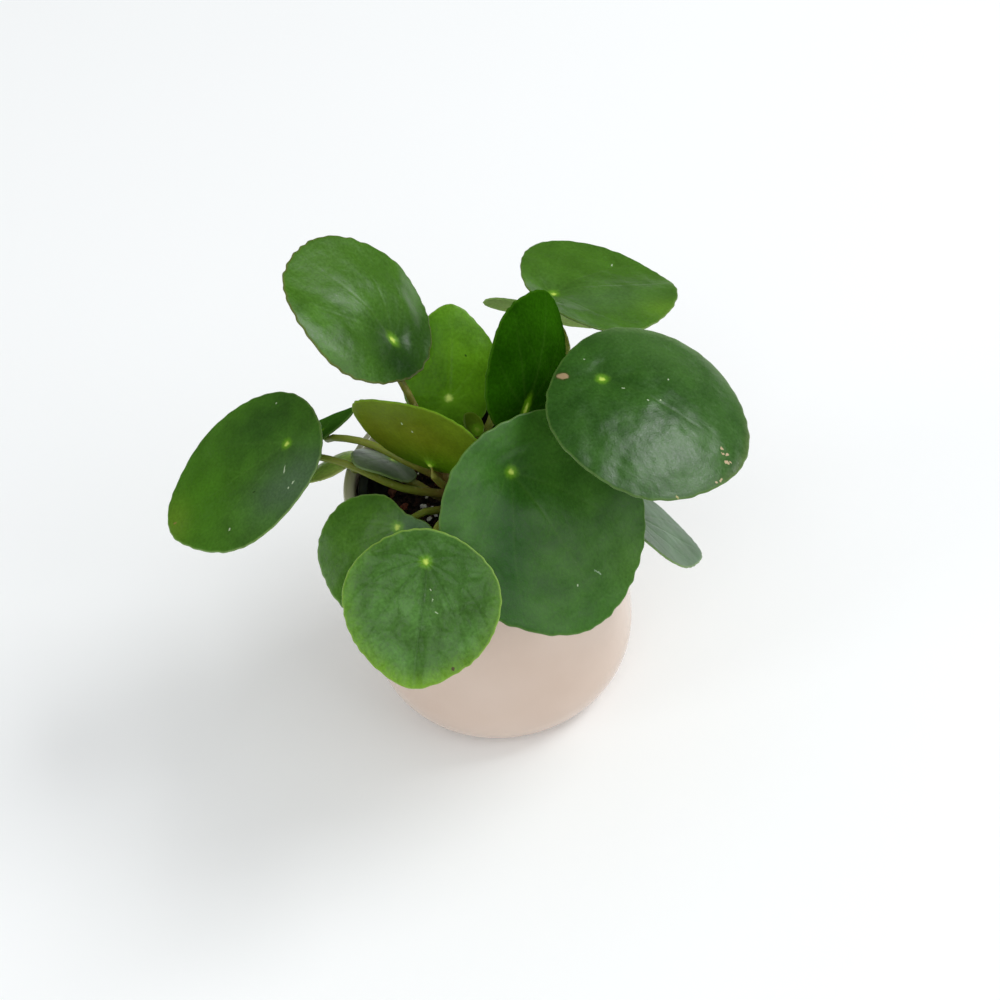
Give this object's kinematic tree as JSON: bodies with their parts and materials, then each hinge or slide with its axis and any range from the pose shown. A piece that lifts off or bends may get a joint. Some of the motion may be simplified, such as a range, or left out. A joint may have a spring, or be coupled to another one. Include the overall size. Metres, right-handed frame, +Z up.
{
  "type": "potted pilea plant",
  "caption": "Small money plant with round glossy leaves on arching stalks, in a black nursery pot set inside a glazed ceramic cover pot.",
  "frame": {"origin": "centre of the ceramic pot's flat foot, on the surface that the pot stands on", "axes": "X runs left to right across the leaf crown as seen from the front, Y runs from front to back, Z is up"},
  "size_m": [0.1474, 0.1204, 0.1363],
  "materials": {
    "glazed_stoneware": "glossy pinkish white glaze with an unglazed tan foot",
    "black_plastic": "thin black blow-moulded plastic, satin",
    "potting_soil": "damp dark potting soil of peat and bark crumbs, with perlite grains",
    "green_stalk": "smooth fleshy stalk, olive green going brown at the stem",
    "green_leaf": "smooth fleshy leaf blade, half gloss",
    "bright_leaf": "thin young leaf blade, half gloss, light comes through it",
    "dark_leaf": "thick old leaf blade, half gloss, dark green"
  },
  "bodies": {
    "root": {"ceramic_pot": "glazed_stoneware", "nursery_pot": "black_plastic", "soil": "potting_soil", "stem_and_stalks": "green_stalk", "leaf_high_left": "green_leaf", "leaf_far_left": "green_leaf", "leaf_back_centre": "bright_leaf", "leaf_upright": "dark_leaf", "leaf_back_right": "green_leaf", "leaf_rear": "green_leaf", "leaf_high_right": "dark_leaf", "leaf_front_large": "dark_leaf", "leaf_front_round": "green_leaf", "leaf_front_left": "green_leaf", "leaf_inner": "bright_leaf", "leaf_back_left": "dark_leaf", "leaf_over_rim": "green_leaf", "leaf_low_right": "green_leaf", "leaf_hanging": "bright_leaf", "leaf_young": "bright_leaf"}
  },
  "joints": []
}
